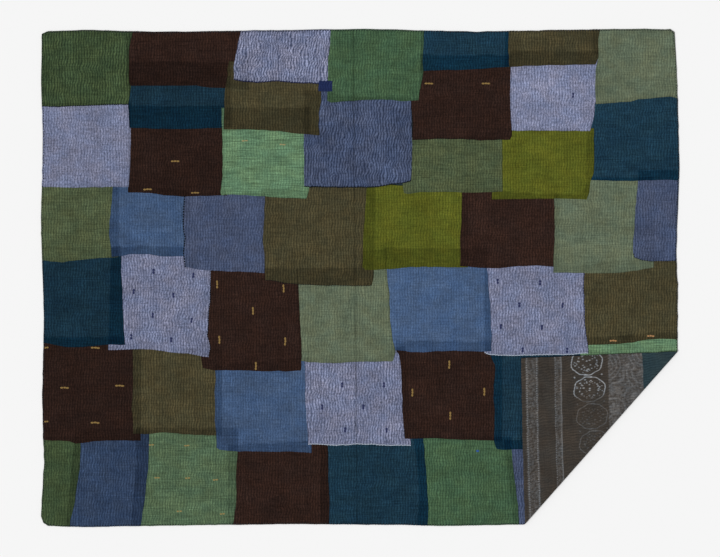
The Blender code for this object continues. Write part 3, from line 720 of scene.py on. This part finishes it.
def finish_cloth(shade, colour, slubs, speckle):
    """The weave, the wear, and the ripple's painted shade and painted highlight that every plain cloth here shows."""
    parts = [
        shade.range(shade.noise((0.075, 0.060, 1.0), 3.0, 0.6), 0.33, 0.67, 0.88, 1.12),
        shade.range(shade.noise((0.070, 0.0034, 1.0), 3.0, 0.65), 0.34, 0.66, 1 - 0.32 * slubs, 1 + 0.32 * slubs),
        shade.range(shade.noise((0.0036, 0.090, 1.0), 2.0, 0.6), 0.34, 0.66, 0.92, 1.08),
        shade.range(shade.noise((0.0040, 0.0066, 1.0), 3.0, 0.75), 0.36, 0.64, 1 - 0.20 * speckle, 1 + 0.20 * speckle),
    ]
    factor = parts[0]
    for part in parts[1:]:
        factor = shade.math("MULTIPLY", factor, part)
    thread, dimple = running_stitches(shade)
    # The dimple darkens the colour: painted shade where the thread pulls the cloth down.
    factor = shade.math("MULTIPLY", factor, shade.range(dimple, 0.0, 1.0, 1.015, 0.80))
    factor = shade.math("MULTIPLY", factor, shade.range(thread, 0.0, 1.0, 1.0, 1.62))
    # Painted shade in the ripple's troughs and painted highlight on its crests, partly denser cloth in the troughs.
    crest = shade.range(shade.fact("crest"), 0.0, 1.0, 0.0, 1.0)
    drift = shade.range(shade.noise((0.060, 0.050, 1.0), 2.0, 0.6), 0.36, 0.64, 0.0, 1.0)
    colour = shade.times(shade.scaled(colour, factor), shade.mixed(crest, TROUGH_SHADE, CREST_HIGHLIGHT))
    shade.feed(shade.shader.inputs["Base Color"], shade.times(colour, shade.mixed(drift, COOLER, WARMER)))
    relief = shade.math("SUBTRACT", shade.math("MULTIPLY", weave_height(shade), 0.35), dimple)
    relief = shade.math("ADD", relief, shade.math("MULTIPLY", thread, 1.3))
    bump = shade.node("ShaderNodeBump", Height=relief)
    bump.inputs["Strength"].default_value = 0.8
    bump.inputs["Distance"].default_value = 0.0003
    shade.feed(shade.shader.inputs["Normal"], bump.outputs[0])
    shade.shader.inputs["Sheen Weight"].default_value = 0.02
    shade.shader.inputs["Sheen Roughness"].default_value = 0.5


def patch_material(name, cloth):
    shade = Shade(name, 0.92)
    finish_cloth(shade, shade.fact("tint", "Vector"), cloth.slubs, cloth.speckle)
    return shade.material


def all_lays():
    sides = [patch_sides(patch) for patch in PATCHES]
    return [PatchLay(patch, around, closed_line(around)) for patch, around in zip(PATCHES, sides)]


def surface_height(points, lays):
    """About how high the topmost cloth lies at flat places."""
    layers = np.zeros(len(points))
    pucker = np.zeros(len(points))
    for lay in lays:
        inside = np.zeros(len(points), bool)
        close = near(points, lay.polygon, 0.0)
        inside[close] = signed_depth(points[close], lay.polygon) > 0
        layers += inside
        pucker = np.where(inside, CLOTHS[lay.patch.cloth].pucker * lay.patch.pucker, pucker)
    return TOP_HEIGHT + LAYER_STEP * np.clip(layers - 1, 0, 2) + 0.75 * pucker


def patch_pieces(lays):
    materials = {name: patch_material(f"{name}_cotton", cloth) for name, cloth in CLOTHS.items()}
    for rank, lay in enumerate(lays):
        place, faces, tint, crest, own_edge, width, height = lay_patch(rank, lays)
        flat = net_places(lay)
        piece = cloth_mesh(f"patch_{lay.patch.name}", place, faces, materials[lay.patch.cloth],
                           tint=tint, crest=crest, flat_place=flat)
        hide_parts("pieced_top")


def net_places(lay):
    top, right, bottom, left = lay.sides
    width = (line_length(top) + line_length(bottom)) / 2
    height = (line_length(left) + line_length(right)) / 2
    points = net_between(lay.sides, graded(width, COLUMN), graded(height, ROW)).reshape(-1, 2)
    return np.column_stack([points, np.zeros(len(points))])


def back_place(across, up):
    """Flat places at shares of the quilt's width and height, blended from its four edges."""
    def along(edge, share, axis):
        table = np.array(edge)
        stops = table[0, axis] + share * (table[-1, axis] - table[0, axis])
        return np.column_stack([np.interp(stops, table[:, axis], table[:, other]) for other in (0, 1)])

    lower, upper = along(LOWER_EDGE, across, 0), along(UPPER_EDGE, across, 0)
    left, right = along(LEFT_EDGE, up, 1), along(RIGHT_EDGE, up, 1)
    u, v = across[None, :, None], up[:, None, None]
    edges = (1 - v) * lower[None] + v * upper[None] + (1 - u) * left[:, None] + u * right[:, None]
    plane = (1 - v) * ((1 - u) * lower[0] + u * lower[-1]) + v * ((1 - u) * upper[0] + u * upper[-1])
    if len(up) and (across[0], across[-1]) == (0.0, 1.0):
        corners = [np.array(point) for point in (LOWER_EDGE[0], LOWER_EDGE[-1], UPPER_EDGE[0], UPPER_EDGE[-1])]
        plane = (1 - v) * ((1 - u) * corners[0] + u * corners[1]) + v * ((1 - u) * corners[2] + u * corners[3])
    return edges - plane


def stops_between(low, high, step, ends=(False, False)):
    """Even stops with finer ones at an end that lies on the quilt's outline."""
    stops = list(np.linspace(low, high, max(2, round((high - low) / step) + 1)))
    if ends[0]:
        stops += [low + fine for fine in FINE_STEPS[1:]]
    if ends[1]:
        stops += [high - fine for fine in FINE_STEPS[1:]]
    return np.unique(np.round(stops, 6))


def back_panel(name, low, high, material, node):
    """One cloth of the back, fine where the turned corner shows it."""
    wide = 1.894
    tall = 1.466
    across = np.unique(np.concatenate([
        stops_between(0.0, FLAP_FROM * wide, 0.030, (True, False)),
        stops_between(FLAP_FROM * wide, wide, COLUMN, (False, True)),
    ])) / wide
    flap_top = min(high, FLAP_UP)
    up = [stops_between(low * tall, flap_top * tall, 0.0045, (low == 0.0, False))]
    if high > FLAP_UP:
        up.append(stops_between(FLAP_UP * tall, high * tall, 0.060, (False, True)))
    up = np.clip(np.unique(np.concatenate(up)) / tall, low, high)
    points = back_place(across, up).reshape(-1, 2)
    past = past_bend(points)
    bend_end = math.pi * BEND_RADIUS
    wave = pucker_wave(points[:, 0], points[:, 1])
    strength = BACK_PUCKER * smooth(past - bend_end, 0.0, 0.030)
    rim = np.clip(signed_depth(points, OUTLINE) / RIM_REACH, 0, 1)
    heights = MID_HEIGHT + (-strength * wave - MID_HEIGHT) * np.sqrt(1 - (1 - rim) ** 2)
    place = folded(wandering(points), heights)
    lower = np.array(LOWER_EDGE)
    from_edge = points[:, 1] - np.interp(points[:, 0], lower[:, 0], lower[:, 1])
    banding = np.column_stack([points[:, 0], from_edge, np.zeros(len(points))])
    flat = np.column_stack([points, np.zeros(len(points))])
    faces = net_faces(len(up), len(across))[:, ::-1]
    # The crest value carries painted shade in the ripple's troughs and painted highlight on its crests.
    piece = cloth_mesh(name, place, faces, material, crest=0.5 + 0.40 * (wave - 0.40), flat_place=flat,
                       banding=banding)
    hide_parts(node)
    return piece


FLAP_FROM = 0.735
FLAP_UP = 0.375
BACK_PUCKER = 0.00055


def between(shade, value, low, high, soft):
    rise = shade.range(value, low - soft, low + soft, 0.0, 1.0)
    fall = shade.range(value, high - soft, high + soft, 1.0, 0.0)
    return shade.math("MULTIPLY", rise, fall)


def border_material():
    """Dark cotton with light woven bands along the quilt's lower edge and a chain of rosettes."""
    shade = Shade("dark_border_cotton", 0.92)
    split = shade.node("ShaderNodeSeparateXYZ", Vector=shade.fact("banding", "Vector"))
    along, inward = split.outputs[0], split.outputs[1]

    def repeat(pitch, offset=0.0):
        turn = shade.math("FRACT", shade.math("ADD", shade.math("DIVIDE", along, pitch), offset))
        return shade.math("MULTIPLY", shade.math("SUBTRACT", turn, 0.5), pitch)

    def distance(first, second):
        squares = shade.math("ADD", shade.math("MULTIPLY", first, first), shade.math("MULTIPLY", second, second))
        return shade.math("SQRT", squares)

    def dots(pitch, centre, radius):
        near_dot = distance(repeat(pitch), shade.math("SUBTRACT", inward, centre))
        return shade.range(near_dot, radius, radius + 0.0012, 1.0, 0.0)

    def most(*values):
        result = values[0]
        for value in values[1:]:
            result = shade.math("MAXIMUM", result, value)
        return result

    mottle = shade.range(shade.noise((0.0075, 0.0075, 1.0), 2.0, 0.6), 0.40, 0.62, 0.0, 1.0)
    first_band = between(shade, inward, 0.0115, 0.050, 0.0010)
    second_band = between(shade, inward, 0.099, 0.119, 0.0010)
    far_line = between(shade, inward, 0.117, 0.121, 0.0008)
    dark_line = between(shade, inward, 0.0945, 0.0975, 0.0008)
    light = shade.math("MULTIPLY", first_band, shade.range(mottle, 0.0, 1.0, 0.02, 0.16))
    light = most(light, shade.math("MULTIPLY", second_band, shade.range(mottle, 0.0, 1.0, 0.02, 0.15)))
    columns = most(dots(0.0066, 0.0160, 0.0017), dots(0.0066, 0.0455, 0.0017), dots(0.0066, 0.1010, 0.0009))
    light = most(light, shade.math("MULTIPLY", columns, 0.34), shade.math("MULTIPLY", far_line, 0.26))

    beside = repeat(0.081, -0.278)
    chain = shade.math("SUBTRACT", 0.279, shade.math("MULTIPLY", along, 0.086))
    across = shade.math("SUBTRACT", inward, chain)
    stretched = distance(shade.math("DIVIDE", beside, 0.039), shade.math("DIVIDE", across, 0.049))
    angle = shade.math("ARCTAN2", across, beside)
    petals = shade.math("SINE", shade.math("MULTIPLY", angle, 8.0))
    wavy = shade.math("ADD", stretched, shade.math("MULTIPLY", petals, 0.030))
    outer_ring = between(shade, wavy, 0.92, 0.98, 0.02)
    inner_ring = shade.math("MULTIPLY", between(shade, wavy, 0.56, 0.62, 0.02),
                            shade.range(shade.math("SINE", shade.math("MULTIPLY", angle, 18.0)), 0.0, 0.4, 0.0, 1.0))
    specks = shade.tree.nodes.new("ShaderNodeTexVoronoi")
    shade.feed(specks.inputs["Vector"], shade.place((0.0070, 0.0120, 1.0)))
    specks.inputs["Scale"].default_value = 1.0
    dashes = shade.math("MULTIPLY", shade.range(specks.outputs["Distance"], 0.20, 0.34, 1.0, 0.0),
                        shade.range(stretched, 0.80, 0.86, 1.0, 0.0))
    waist = shade.range(shade.math("ABSOLUTE", across), 0.012, 0.014, 1.0, 0.0)
    gap = shade.math("SUBTRACT", 0.0405, shade.math("ABSOLUTE", beside))
    bars = shade.math("MULTIPLY", between(shade, gap, 0.0018, 0.0040, 0.0006), waist)
    rosette = most(outer_ring, shade.math("MULTIPLY", inner_ring, 0.8), shade.math("MULTIPLY", dashes, 0.75), bars)
    corner_dots = shade.range(distance(gap, shade.math("SUBTRACT", shade.math("ABSOLUTE", across), 0.041)),
                              0.0020, 0.0032, 0.8, 0.0)
    bright_end = shade.range(along, 0.842, 0.870, 0.13, 0.72)
    rosette = shade.math("MULTIPLY", most(rosette, corner_dots), bright_end)

    cells = shade.tree.nodes.new("ShaderNodeTexVoronoi")
    cells.feature = "F1"
    shade.feed(cells.inputs["Vector"], shade.place((0.066, 0.066, 1.0)))
    cells.inputs["Scale"].default_value = 1.0
    rings = shade.range(shade.math("SINE", shade.math("MULTIPLY", cells.outputs["Distance"], 38.0)), 0.2, 0.7, 0.0, 0.10)
    floral = shade.math("MULTIPLY", between(shade, inward, 0.262, 0.372, 0.002),
                        shade.math("ADD", rings, shade.range(mottle, 0.0, 1.0, 0.04, 0.17)))
    light = most(light, rosette, floral)
    light = shade.math("MULTIPLY", light, shade.range(shade.noise((0.004, 0.004, 1.0), 2.0, 0.6), 0.3, 0.7, 0.70, 1.0))
    light = shade.math("MULTIPLY", light, shade.math("SUBTRACT", 1.0, shade.math("MULTIPLY", dark_line, 0.8)))
    ground = (*linear((60, 55, 50)), 1.0)
    pale = (*linear((170, 175, 180)), 1.0)
    colour = shade.mixed(light, ground, pale)
    finish_cloth(shade, colour, 0.35, 0.5)
    return shade.material


def plain_material(name, display):
    shade = Shade(name, 0.92)
    finish_cloth(shade, tuple(linear(display)), 0.35, 0.5)
    return shade.material


def back_pieces():
    back_panel("back_border", 0.0, BORDER_SHARE, border_material(), "back_border_panel")
    back_panel("back_field", BORDER_SHARE, 1.0, plain_material("teal_back_cotton", (43, 58, 63)),
               "back_field_panel")


def mending_patch():
    """The small navy cloth over a seam near the upper edge."""
    wide, tall, turn = 0.041, 0.032, math.radians(-1.5)
    u, v = np.meshgrid(np.linspace(-0.5, 0.5, 26), np.linspace(0.5, -0.5, 18))
    local = np.column_stack([u.ravel() * wide, v.ravel() * tall])
    spin = np.array([[math.cos(turn), -math.sin(turn)], [math.sin(turn), math.cos(turn)]])
    points = np.array([-0.103, 0.5755]) + local @ spin.T
    edge = np.minimum(wide / 2 - abs(local[:, 0]), tall / 2 - abs(local[:, 1]))
    wave = pucker_wave(points[:, 0], points[:, 1])
    heights = 0.0042 + 0.0004 * wave - 0.0009 * (1 - smooth(edge, -0.0001, 0.0026))
    flat = np.column_stack([points, np.zeros(len(points))])
    # The crest value carries painted shade in the ripple's troughs and painted highlight on its crests.
    piece = cloth_mesh("mending_patch_cloth", np.column_stack([wandering(points), heights]), net_faces(18, 26),
                       plain_material("navy_mending_cotton", (30, 40, 75)), crest=0.5 + 0.40 * (wave - 0.40), flat_place=flat)
    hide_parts("mending_patch")


class Motif(NamedTuple):
    thread: str
    length: float
    width: float
    upright: bool
    places: tuple


# The woven motifs: small ovals in a row, at these millimetres from the quilt's upper left corner.
MOTIFS = (
    Motif("yellow", 25, 5.6, False, ((403, 394), (320, 478), (463, 489), (1163, 160), (1334, 161))),
    Motif("yellow", 26, 5.6, False, ((71, 1073), (237, 1067), (164, 953), (163, 1178))),
    Motif("yellow", 12, 5.6, False, ((16, 953), (16, 1175))),
    Motif("yellow", 24, 6.0, True, ((529, 763), (728, 775), (636, 842), (535, 929), (732, 935), (644, 1008))),
    Motif("yellow", 24, 6.0, True, ((1225, 1004), (1114, 1087), (1330, 1085), (1228, 1157))),
    Motif("cream", 18, 4.5, False, ((611, 333), (725, 344))),
    Motif("orange", 21, 5.4, False, ((1716, 933), (1829, 918))),
    Motif("straw", 15, 5.0, False, ((331, 1244), (437, 1246), (349, 1343), (440, 1345), (523, 1349),
                                   (415, 1444), (544, 1451))),
    Motif("navy", 15, 7.4, True, ((338, 724), (457, 737), (278, 785), (397, 796), (335, 856), (452, 871),
                                 (271, 921), (391, 930))),
    Motif("navy", 15, 7.4, True, ((1370, 755), (1496, 758), (1435, 824), (1565, 827), (1379, 889), (1502, 892),
                                 (1445, 960), (1577, 961))),
    Motif("navy", 15, 7.4, True, ((903, 1065), (1029, 1065), (843, 1131), (967, 1131), (912, 1200), (1037, 1200))),
    Motif("navy", 15, 6.4, True, ((1595, 196),)),
    Motif("sky", 8, 7.0, False, ((1310, 1262),)),
)
THREADS = {
    "yellow": (135, 110, 65), "cream": (150, 140, 100), "orange": (165, 125, 85), "straw": (140, 125, 80),
    "navy": (45, 50, 85), "sky": (50, 85, 150), "dark": (15, 20, 25), "pale": (180, 190, 205),
    "ink": (20, 25, 60), "hem": (25, 30, 35),
}


def dome(centre, half_length, half_width, direction, height, base):
    """A raised oval of thread: points and triangles."""
    sides = 8
    rings = ((1.0, 0.0), (0.72, 0.72))
    way = np.array(direction) / np.linalg.norm(direction)
    beside = np.array([-way[1], way[0]])
    points = []
    for size, rise in rings:
        for step in range(sides):
            angle = 2 * math.pi * step / sides
            spot = centre + size * (half_length * math.cos(angle) * way + half_width * math.sin(angle) * beside)
            points.append((*spot, base + rise * height))
    points.append((*centre, base + height))
    faces = []
    for step in range(sides):
        after = (step + 1) % sides
        faces += [(step, after, sides + after), (step, sides + after, sides + step)]
        faces.append((sides + step, sides + after, 2 * sides))
    return np.array(points), np.array(faces)


class Oval(NamedTuple):
    centre: np.ndarray
    half_length: float
    half_width: float
    direction: np.ndarray
    height: float


def thread_piece(name, thread, ovals, lays):
    """The ovals of one thread as one mesh, each on the cloth that lies topmost there."""
    points, faces, first = [], [], 0
    centres = np.array([oval.centre for oval in ovals])
    bases = surface_height(centres, lays) - 0.0002
    places = wandering(centres)
    for oval, base, place in zip(ovals, bases, places):
        dome_points, dome_faces = dome(place, oval.half_length, oval.half_width, oval.direction, oval.height, base)
        points.append(dome_points)
        faces.append(dome_faces + first)
        first += len(dome_points)
    points = np.vstack(points)
    flat = np.column_stack([points[:, :2], np.zeros(len(points))])
    place = folded(points[:, :2], points[:, 2])
    shade = Shade(f"{thread}_thread", 0.75)
    twist = shade.range(shade.noise((0.0012, 0.0012, 1.0), 2.0, 0.6), 0.35, 0.65, 0.75, 1.12)
    shade.feed(shade.shader.inputs["Base Color"], shade.scaled(tuple(linear(THREADS[thread])), twist))
    shade.shader.inputs["Sheen Weight"].default_value = 0.05
    piece = cloth_mesh(name, place, np.vstack(faces), shade.material, flat_place=flat)


def motif_pieces(lays):
    by_thread = {}
    for motif in MOTIFS:
        lobes = 3 if motif.length > 20 else 2
        if motif.thread == "sky":
            lobes = 1
        way = np.array((0.0, 1.0) if motif.upright else (1.0, 0.0))
        reach = motif.length * MM / lobes
        for right, down in motif.places:
            centre = np.array((TABLE_ORIGIN[0] + right * MM, TABLE_ORIGIN[1] - down * MM))
            for lobe in range(lobes):
                spot = centre + way * reach * (lobe - (lobes - 1) / 2) + 0.0004 * np.array((lobe % 2, -lobe % 2))
                by_thread.setdefault(motif.thread, []).append(
                    Oval(spot, 0.58 * reach, motif.width * MM / 2, way, 0.0006))
    for thread, ovals in by_thread.items():
        thread_piece(f"motifs_{thread}", thread, ovals, lays)


class Seam(NamedTuple):
    patch: str
    side: int
    thread: str
    pitch: float
    length: float
    width: float


TOP, RIGHT, BOTTOM, LEFT = range(4)
HEM_INSET = 0.0004

# Hems whose stitches show: the thread, the stitches' pitch, and their length and width, in millimetres.
SEAMS = (
    Seam("lavender_top", BOTTOM, "ink", 4.6, 3.9, 4.2),
    Seam("slate_centre", BOTTOM, "dark", 4.6, 3.9, 4.4),
    Seam("moss_top", BOTTOM, "dark", 6.5, 5.0, 3.2),
    Seam("slate_left", LEFT, "dark", 7.5, 6.0, 4.4),
    Seam("lavender_centre", RIGHT, "dark", 7.0, 5.0, 2.4),
    Seam("lavender_right", RIGHT, "navy", 8.0, 5.0, 2.4),
    Seam("lavender_right", BOTTOM, "pale", 4.6, 4.2, 3.0),
    Seam("lavender_low", BOTTOM, "pale", 4.6, 4.2, 3.0),
    Seam("slate_right", BOTTOM, "dark", 7.0, 5.0, 2.4),
    Seam("olive_large", BOTTOM, "dark", 7.0, 5.0, 2.0),
    Seam("brown_top", BOTTOM, "dark", 8.0, 4.0, 2.0),
)


def line_stitches(line, seam_pitch, length, width, inset):
    """Stitches along a line, set in to its left by an inset."""
    total = line_length(line)
    stops = np.arange(seam_pitch / 2, total, seam_pitch) / total
    spots = at_shares(line, stops)
    ways = at_shares(line, np.minimum(stops + 0.001, 1)) - at_shares(line, np.maximum(stops - 0.001, 0))
    made = []
    for spot, way in zip(spots, ways):
        way = way / np.linalg.norm(way)
        spot = spot + inset * np.array([-way[1], way[0]])
        made.append(Oval(spot, length / 2, width / 2, way, 0.0005))
    return made


def uncovered(stitches, lays_above):
    """The stitches that no later cloth lies over."""
    spots = np.array([stitch.centre for stitch in stitches])
    hidden = np.zeros(len(spots), bool)
    for lay in lays_above:
        hidden |= signed_depth(spots, lay.polygon) > 0
    return [stitch for stitch, under in zip(stitches, hidden) if not under]


def seam_pieces(lays):
    ranks = {lay.patch.name: rank for rank, lay in enumerate(lays)}
    by_thread = {}
    for seam in SEAMS:
        inset = HEM_INSET * (1 if seam.side in (BOTTOM, LEFT) else -1)
        rank = ranks[seam.patch]
        stitches = line_stitches(lays[rank].sides[seam.side], seam.pitch * MM, seam.length * MM,
                                 seam.width * MM, inset)
        by_thread.setdefault(seam.thread, []).extend(uncovered(stitches, lays[rank + 1:]))
    closed = np.vstack([OUTLINE, OUTLINE[:1]])
    by_thread["hem"] = line_stitches(closed, 0.0078, 0.0048, 0.0026, 0.0036)
    for thread, ovals in by_thread.items():
        thread_piece(f"stitches_{thread}", thread, ovals, lays)


def stage_pieces():
    """A pale floor, a big soft light from the upper left, and the camera straight above."""
    mesh = bpy.data.meshes.new("floor")
    reach = 14.0
    mesh.from_pydata([(-reach, -reach, 0), (reach, -reach, 0), (reach, reach, 0), (-reach, reach, 0)], [],
                     [(0, 1, 2, 3)])
    floor = bpy.data.objects.new("floor", mesh)
    floor.location.z = -0.0002
    paint = bpy.data.materials.new("floor_paint")
    paint.use_nodes = True
    shader = paint.node_tree.nodes["Principled BSDF"]
    shader.inputs["Base Color"].default_value = (0.90, 0.90, 0.90, 1.0)
    shader.inputs["Roughness"].default_value = 1.0
    shader.inputs["Specular IOR Level"].default_value = 0.0
    mesh.materials.append(paint)
    bpy.context.scene.collection.objects.link(floor)

    world = bpy.data.worlds.new("studio")
    world.use_nodes = True
    world.node_tree.nodes["Background"].inputs["Color"].default_value = (1.0, 1.0, 1.0, 1.0)
    world.node_tree.nodes["Background"].inputs["Strength"].default_value = WORLD_LIGHT
    bpy.context.scene.world = world

    lamp = bpy.data.lights.new("key", "SUN")
    lamp.energy = KEY_LIGHT
    lamp.angle = math.radians(14)
    key = bpy.data.objects.new("key", lamp)
    key.rotation_euler = (math.radians(24), math.radians(-46), 0.0)
    bpy.context.scene.collection.objects.link(key)

    lens = bpy.data.cameras.new("camera")
    lens.sensor_width = 36.0
    camera = bpy.data.objects.new("camera", lens)
    camera.location = (0.0, -0.0015, CAMERA_HEIGHT)
    lens.lens = lens.sensor_width * CAMERA_HEIGHT / FRAME_WIDTH
    lens.clip_end = 50.0
    bpy.context.scene.collection.objects.link(camera)
    bpy.context.scene.camera = camera
    bpy.context.scene.view_settings.view_transform = "Standard"


WORLD_LIGHT = 0.55
KEY_LIGHT = 2.34
CAMERA_HEIGHT = 5.5
FRAME_WIDTH = 2.16

LAYS = all_lays()
patch_pieces(LAYS)
back_pieces()
mending_patch()
motif_pieces(LAYS)
seam_pieces(LAYS)
stage_pieces()
